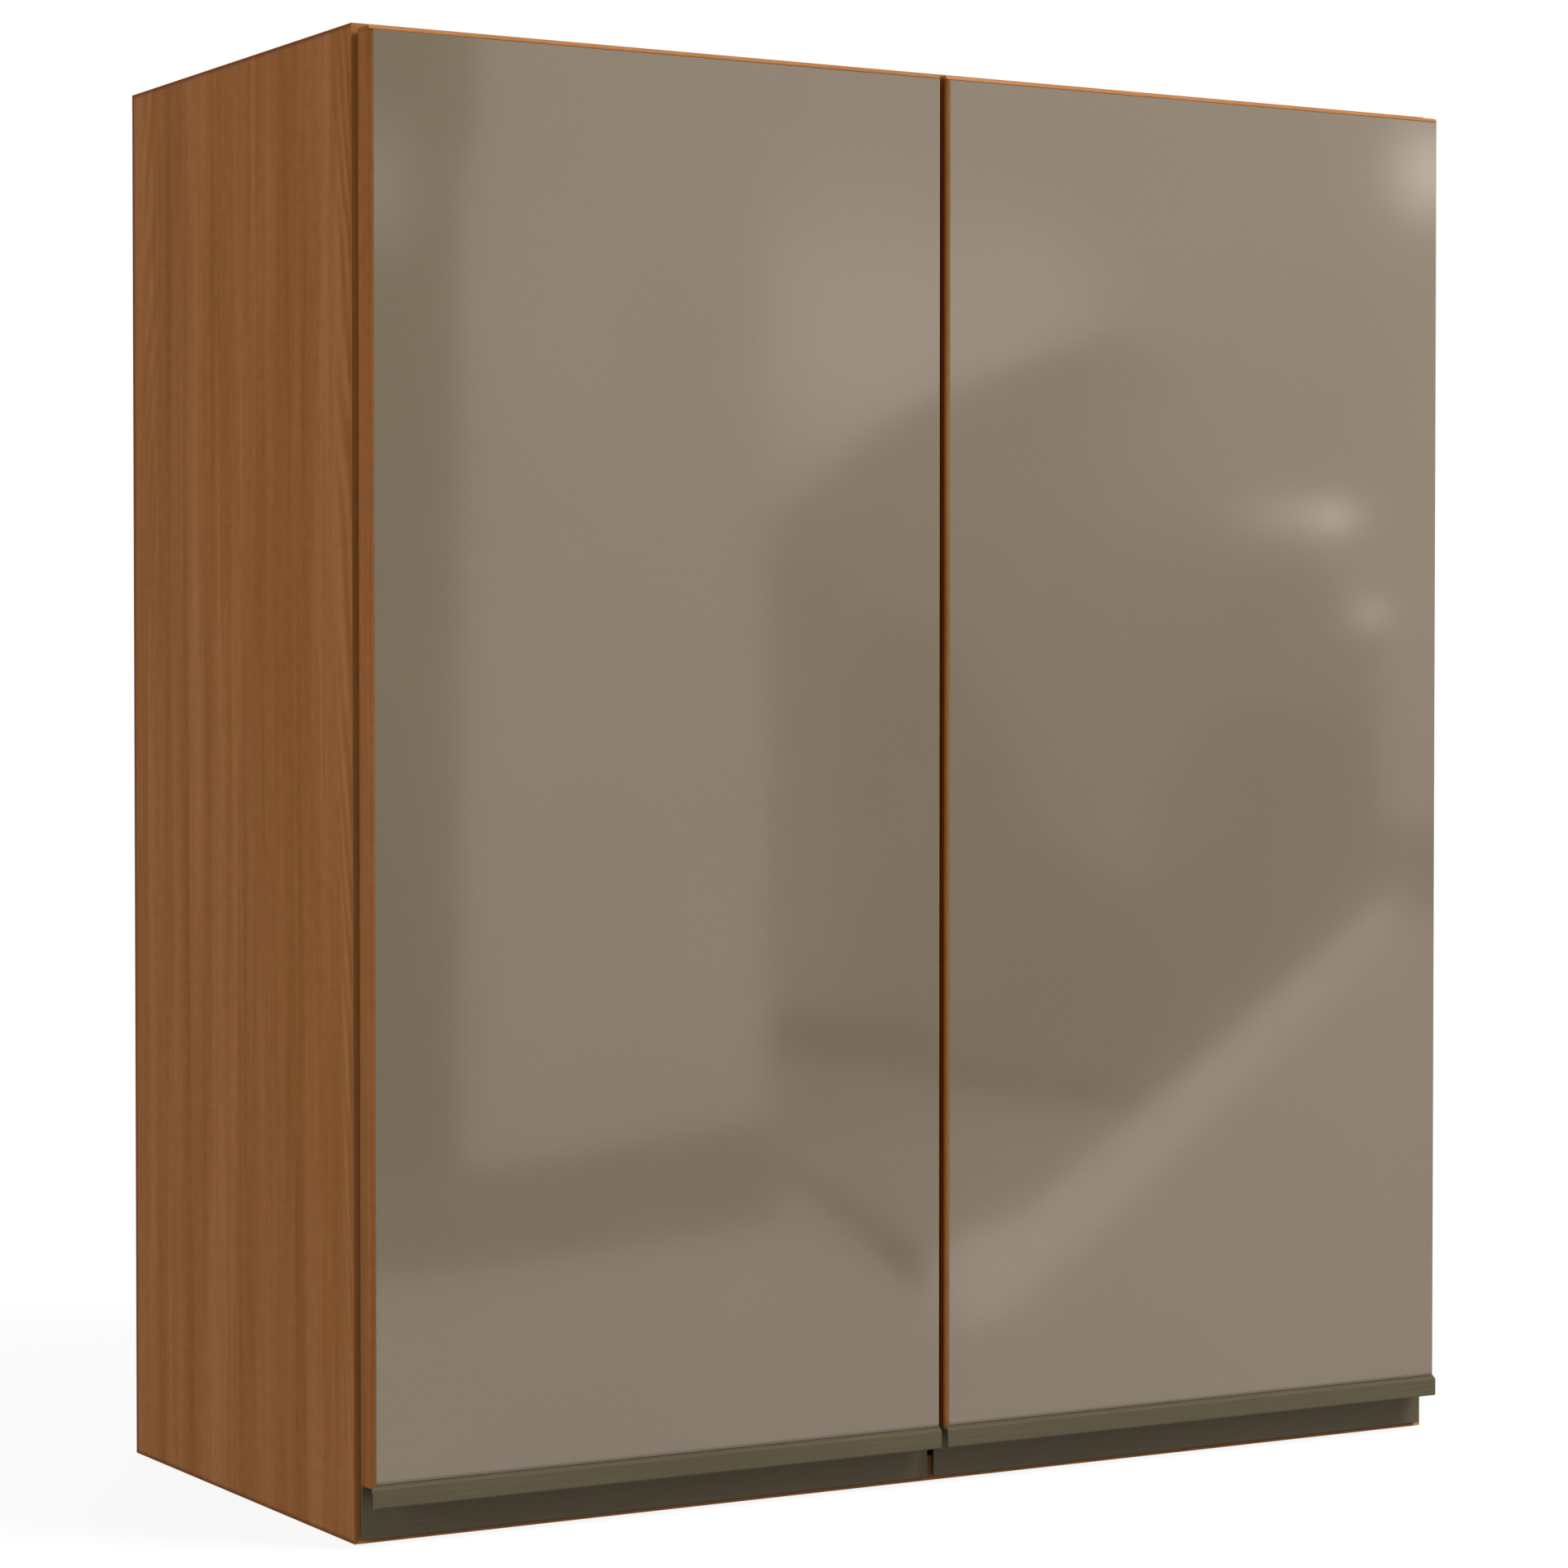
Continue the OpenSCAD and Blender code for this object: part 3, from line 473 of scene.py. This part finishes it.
def build_carcass():
    """The case, its shelf, its edge bands and the small parts that hold it together."""
    low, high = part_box("side_panel_left")
    figure = ("y", high.y - 0.012)    # pointed figure beside the front and rear edges
    seams_and_painted_highlights = (("z", low.z, 0.0018, SEAM), ("z", high.z, 0.0018, SEAM), ("y", high.y, 0.0034, SEAM))
    for number, side in enumerate(SIDES):
        board("side_panel_" + side, "z", "x", 3.1 + number, ends_banded=True, flames=figure, seams_and_painted_highlights=seams_and_painted_highlights)
    for node, seed in (("top_panel", 5.2), ("bottom_panel", 6.4), ("shelf", 7.7)):
        board(node, "x", "z", seed, flames=figure)
    board("upper_rail", "x", "y", 8.3)
    board("lower_rail", "x", "y", 9.6)
    back_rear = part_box("back_panel")[1].y

    def rear_is_raw(centre, normal):
        return 1 if normal.y > FACING and abs(centre.y - back_rear) < TOUCHING else 0
    back_wood = wood("back_panel_wood", "z", 11.5, BOARD_SHADES)
    softened("back_panel", [back_wood, RAW_BACK], THIN_ROUNDING, choose=rear_is_raw)
    # The pale line at the bottom of the front bands is a painted highlight, not the bands' own colour.
    banded("carcass_front_bands", 2.2, seams_and_painted_highlights=[("z", low.z, 0.0010, PAINTED_UNDERSIDE_HIGHLIGHT)])
    softened("shelf_front_band", [band_wood("shelf_band_wood", "x", 4.4)], THIN_ROUNDING)
    softened("dowels", [wood("beech", "x", 1.0, BEECH_SHADES)], BOARD_ROUNDING)
    softened("shelf_pins", [STEEL], 0.0003)
    softened("cam_bolts", [DARK_STEEL], 0.0002)
    softened("cam_locks", [ZINC], 0.0002)


def build_door(side, seed):
    """A door with its gloss face, edge bands, handle profile, screws and bumpers."""
    board(side + "_door_panel", "z", "y", seed, width=THIN_ROUNDING)
    softened(side + "_door_face", [LACQUER], 0.00025, segments=3)
    banded(side + "_door_bands", seed + 0.6)
    softened(side + "_handle_profile", [BRONZE], 0.00015)
    softened(side + "_handle_screws", [DARK_STEEL], 0.0)
    softened(side + "_door_bumpers", [PLASTIC], 0.0004, segments=3)


def build_hinges(side):
    """One door's two cup hinges, from the plates on the carcass to the cups in the door."""
    for name, material, width in (
            ("mounting_plates", STEEL, 0.0004), ("hinge_arms", STEEL, 0.0003),
            ("inner_links", STEEL, 0.0002), ("outer_links", STEEL, 0.0002), ("hinge_cups", STEEL, 0.0003),
            ("plate_screws", DARK_STEEL, 0.0001), ("arm_screws", DARK_STEEL, 0.0002),
            ("arm_pins", DARK_STEEL, 0.0002), ("cup_pins", DARK_STEEL, 0.0002),
            ("cup_screws", DARK_STEEL, 0.0001)):
        softened(side + "_" + name, [material], width)


# ---------- studio ----------

CAMERA_PLACE = Vector((-1.0662, -1.8086, 0.3773))
CAMERA_HEADING = math.radians(30.33)   # clockwise from +Y
CAMERA_TILT = math.radians(-1.248)
CAMERA_LENS = 95.9                     # millimetres, as the sensor's width is
SENSOR_WIDTH = 36.0
STUDIO_WHITE = 1.0                     # what the camera sees behind the cabinet
STUDIO_GLOSS = 0.80                    # what shiny parts mirror
STUDIO_AMBIENT = 0.20                  # what lights the cabinet from all sides
LIGHT_SIZE = 1.4                       # each square light's side


def build_camera():
    """The photograph's camera."""
    data = bpy.data.cameras.new("camera")
    data.lens = CAMERA_LENS
    data.sensor_width = SENSOR_WIDTH
    camera = bpy.data.objects.new("camera", data)
    camera.location = CAMERA_PLACE
    camera.rotation_euler = (math.pi / 2 + CAMERA_TILT, 0.0, -CAMERA_HEADING)
    bpy.context.scene.collection.objects.link(camera)
    bpy.context.scene.camera = camera


def studio_level(tree, strength):
    """Feeds a strength socket with the studio's level for the camera's own rays, gloss and light."""
    path = tree.nodes.new("ShaderNodeLightPath")
    level = STUDIO_AMBIENT
    for ray, seen in (("Is Glossy Ray", STUDIO_GLOSS), ("Is Camera Ray", STUDIO_WHITE)):
        chosen = tree.nodes.new("ShaderNodeMapRange")
        chosen.inputs["To Max"].default_value = seen
        tree.links.new(path.outputs[ray], chosen.inputs["Value"])
        if isinstance(level, float):
            chosen.inputs["To Min"].default_value = level
        else:
            tree.links.new(level, chosen.inputs["To Min"])
        level = chosen.outputs[0]
    tree.links.new(level, strength)


def build_world():
    """White all round."""
    world = bpy.data.worlds.new("studio")
    world.use_nodes = True
    background = world.node_tree.nodes["Background"]
    background.inputs["Color"].default_value = (1.0, 1.0, 1.0, 1.0)
    studio_level(world.node_tree, background.inputs["Strength"])
    bpy.context.scene.world = world


def blended_material(name, factor_kind, factor_output, first_kind, second_kind):
    """A material that goes from one shader to another by a factor. Gives it and its three nodes."""
    material = bpy.data.materials.new(name)
    material.use_nodes = True
    tree = material.node_tree
    tree.nodes.clear()
    factor, first, second, blend, output = (tree.nodes.new("ShaderNode" + kind) for kind in (
        factor_kind, first_kind, second_kind, "MixShader", "OutputMaterial"))
    links = (
        (factor.outputs[factor_output], blend.inputs[0]), (first.outputs[0], blend.inputs[1]),
        (second.outputs[0], blend.inputs[2]), (blend.outputs[0], output.inputs["Surface"]))
    for giver, taker in links:
        tree.links.new(giver, taker)
    return material, factor, first, second


def staged_mesh(name, points, faces, material):
    """A mesh of the studio's, which isn't part of the object."""
    mesh = bpy.data.meshes.new(name)
    mesh.from_pydata(points, [], faces)
    mesh.materials.append(material)
    made = bpy.data.objects.new(name, mesh)
    bpy.context.scene.collection.objects.link(made)
    return made


def build_floor():
    """A pale floor that takes soft shadows near the cabinet and fades into the white studio further out."""
    reach, drop, near, far, near_glow = 12.0, -0.0005, 0.5, 2.4, 0.90
    material, fade, diffuse, glow = blended_material("floor", "MapRange", 0, "BsdfDiffuse", "Emission")
    diffuse.inputs["Color"].default_value = (0.93, 0.93, 0.93, 1.0)
    tree = material.node_tree
    studio_level(tree, glow.inputs["Strength"])
    fade.interpolation_type = "SMOOTHSTEP"
    fade.inputs["From Min"].default_value = near
    fade.inputs["From Max"].default_value = far
    fade.inputs["To Min"].default_value = near_glow
    place = tree.nodes.new("ShaderNodeTexCoord")
    distance = tree.nodes.new("ShaderNodeVectorMath")
    distance.operation = "LENGTH"
    tree.links.new(place.outputs["Object"], distance.inputs[0])
    tree.links.new(distance.outputs["Value"], fade.inputs["Value"])
    corners = [(x * reach, y * reach, drop) for x, y in ((-1, -1), (1, -1), (1, 1), (-1, 1))]
    floor = staged_mesh("floor", corners, [(0, 1, 2, 3)], material)
    floor.visible_glossy = False


def build_lights():
    """A large soft light high in front on the right, and weaker ones on the left and behind."""
    target = Vector((0.0, 0.0, 0.33))
    for name, place, power in (
            ("key", (1.8, -1.9, 3.1), 190.0),
            ("fill", (-3.0, -1.1, 1.4), 50.0),
            ("rear", (1.2, 3.0, 1.9), 70.0)):
        data = bpy.data.lights.new(name, "AREA")
        data.shape = "SQUARE"
        data.size = LIGHT_SIZE
        data.energy = power
        light = bpy.data.objects.new(name, data)
        light.location = place
        light.rotation_euler = (target - Vector(place)).to_track_quat("-Z", "Y").to_euler()
        light.visible_camera = False
        light.visible_glossy = False
        bpy.context.scene.collection.objects.link(light)


# ---------- cards: what the gloss doors mirror ----------

DOOR_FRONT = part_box("left_door_face")[0].y
CARDS_Y = -2.2          # the first card's distance in front of the cabinet
CARD_STEP = 0.01        # each further card stands this much nearer the doors
CARD_TINT = (1.0, 0.87, 0.80, 1.0)    # warm, as the room's light is
FADE_RINGS = 8          # rings of faces from a soft card's middle to its rim
RIM_POINTS = 24         # corners round each ring


def on_card(x, z, y):
    """The point at depth y that the camera sees mirrored at (x, z) of the closed doors."""
    mirrored = Vector((CAMERA_PLACE.x, 2 * DOOR_FRONT - CAMERA_PLACE.y, CAMERA_PLACE.z))
    along = (y - mirrored.y) / (DOOR_FRONT - mirrored.y)
    return mirrored + (Vector((x, DOOR_FRONT, z)) - mirrored) * along


def place_card(name, brightness, y, points, faces, fading):
    """Sets up a card that only reflections show. fading holds how far each point has faded, from 0 to 1."""
    material, rim, light, _ = blended_material(name, "Attribute", "Fac", "Emission", "BsdfTransparent")
    rim.attribute_name = "rim"
    light.inputs["Color"].default_value = CARD_TINT
    light.inputs["Strength"].default_value = brightness
    made = staged_mesh(name, [on_card(x, z, y) for x, z in points], faces, material)
    fade = made.data.attributes.new("rim", "FLOAT", "POINT")
    for index, share in enumerate(fading):
        fade.data[index].value = share * share * (3 - 2 * share)
    made.visible_camera = False
    made.visible_diffuse = False
    made.visible_shadow = False


def sharp_card(name, brightness, y, outline):
    """An even card whose outline shows on the closed doors at these (x, z) points."""
    place_card(name, brightness, y, outline, [tuple(range(len(outline)))], [0.0] * len(outline))


def soft_card(name, brightness, y, ellipse):
    """A card that fades from its middle to its rim. The ellipse is its middle x and z, and half sizes."""
    x, z, half_w, half_h = ellipse
    points, fading = [(x, z)], [0.0]
    for ring in range(1, FADE_RINGS + 1):
        for i in range(RIM_POINTS):
            turn = 2 * math.pi * i / RIM_POINTS
            share = ring / FADE_RINGS
            points.append((x + share * half_w * math.cos(turn), z + share * half_h * math.sin(turn)))
            fading.append(share)
    faces = [(0, 1 + i, 1 + (i + 1) % RIM_POINTS) for i in range(RIM_POINTS)]
    for ring in range(FADE_RINGS - 1):
        start = 1 + ring * RIM_POINTS
        for i in range(RIM_POINTS):
            after = (i + 1) % RIM_POINTS
            faces.append((start + i, start + RIM_POINTS + i, start + RIM_POINTS + after, start + after))
    place_card(name, brightness, y, points, faces, fading)


def build_cards():
    """Pale wall, dark doorway and lamps of a quiet room, each card a little nearer than the one before."""
    cards = (
        (sharp_card, "wall_card", 1.60, [(-0.60, -0.30), (0.60, -0.30), (0.60, 1.00), (-0.60, 1.00)]),
        (soft_card, "wall_glow", 2.75, (-0.040, 0.545, 0.15, 0.110)),
        (soft_card, "wall_glow_end", 2.5, (0.045, 0.560, 0.08, 0.070)),
        (sharp_card, "wall_left", 1.60, [
            (-0.60, 0.10), (-0.098, 0.10), (-0.098, 0.62), (-0.14, 1.00), (-0.60, 1.00)]),
        (sharp_card, "left_dark", 0.22, [
            (-0.60, 0.10), (-0.254, 0.13), (-0.254, 0.60), (-0.246, 0.63), (-0.244, 1.00), (-0.60, 1.00)]),
        (soft_card, "left_pale", 1.6, (-0.293, 0.600, 0.026, 0.050)),
        (sharp_card, "floor_shade", 0.50, [
            (-0.60, 0.118), (-0.25, 0.120), (-0.088, 0.132), (-0.088, 0.180), (-0.20, 0.168),
            (-0.60, 0.152)]),
        (sharp_card, "doorway", 0.85, [
            (-0.095, 0.170), (-0.095, 0.455), (-0.055, 0.487), (-0.035, 0.502), (0.0, 0.520),
            (0.06, 0.541), (0.10, 0.553), (0.14, 0.530), (0.17, 0.490), (0.22, 0.450), (0.262, 0.400),
            (0.262, 0.312), (0.60, 0.308), (0.60, 0.27), (0.27, 0.265), (0.20, 0.225), (0.10, 0.155),
            (0.05, 0.125), (-0.01, 0.105), (-0.09, 0.155)]),
        (sharp_card, "doorway_edge", 0.66, [
            (-0.095, 0.170), (-0.095, 0.440), (-0.050, 0.440), (-0.050, 0.170)]),
        (sharp_card, "doorway_column", 0.48, [
            (-0.052, 0.200), (-0.052, 0.375), (-0.042, 0.420), (0.000, 0.410), (0.030, 0.360),
            (0.060, 0.310), (0.115, 0.280), (0.115, 0.180), (0.000, 0.190)]),
        (sharp_card, "doorway_deep", 0.56, [
            (0.115, 0.270), (0.130, 0.330), (0.160, 0.372), (0.255, 0.372), (0.262, 0.340),
            (0.262, 0.290), (0.225, 0.248), (0.160, 0.195), (0.115, 0.175)]),
        (soft_card, "doorway_pale", 1.45, (0.17, 0.50, 0.13, 0.08)),
        (sharp_card, "skirting", 0.05, [
            (-0.095, 0.230), (-0.005, 0.220), (0.0, 0.203), (0.115, 0.184), (0.115, 0.174), (0.0, 0.190),
            (-0.005, 0.200), (-0.095, 0.208)]),
        (sharp_card, "floor_patch", 1.05, [
            (-0.09, 0.165), (-0.002, 0.172), (0.05, 0.170), (0.11, 0.165), (0.05, 0.125),
            (-0.01, 0.112)]),
        (sharp_card, "floor_crack", 0.15, [
            (-0.094, 0.158), (-0.084, 0.160), (-0.008, 0.112), (0.0, 0.093), (-0.015, 0.095)]),
        (sharp_card, "floor_line", 2.7, [
            (-0.008, 0.100), (0.0, 0.114), (0.05, 0.130), (0.10, 0.162), (0.15, 0.196), (0.20, 0.230),
            (0.28, 0.282), (0.27, 0.258), (0.20, 0.200), (0.15, 0.161), (0.10, 0.123), (0.04, 0.080),
            (0.01, 0.072)]),
        (soft_card, "lamp_corner", 6.2, (0.294, 0.643, 0.040, 0.042)),
        (soft_card, "lamp_high", 8.0, (0.231, 0.466, 0.026, 0.014)),
        (soft_card, "lamp_trail", 3.2, (0.205, 0.466, 0.050, 0.016)),
        (soft_card, "lamp_low", 4.2, (0.255, 0.418, 0.022, 0.015)))
    for number, (make, name, brightness, shape) in enumerate(cards):
        make(name, brightness, CARDS_Y + CARD_STEP * number, shape)


build_camera()
build_world()
build_floor()
build_lights()
build_cards()
build_carcass()
for number, side in enumerate(SIDES):
    build_door(side, 13.0 + 4.0 * number)
    build_hinges(side)
bpy.context.scene.view_settings.view_transform = "Standard"
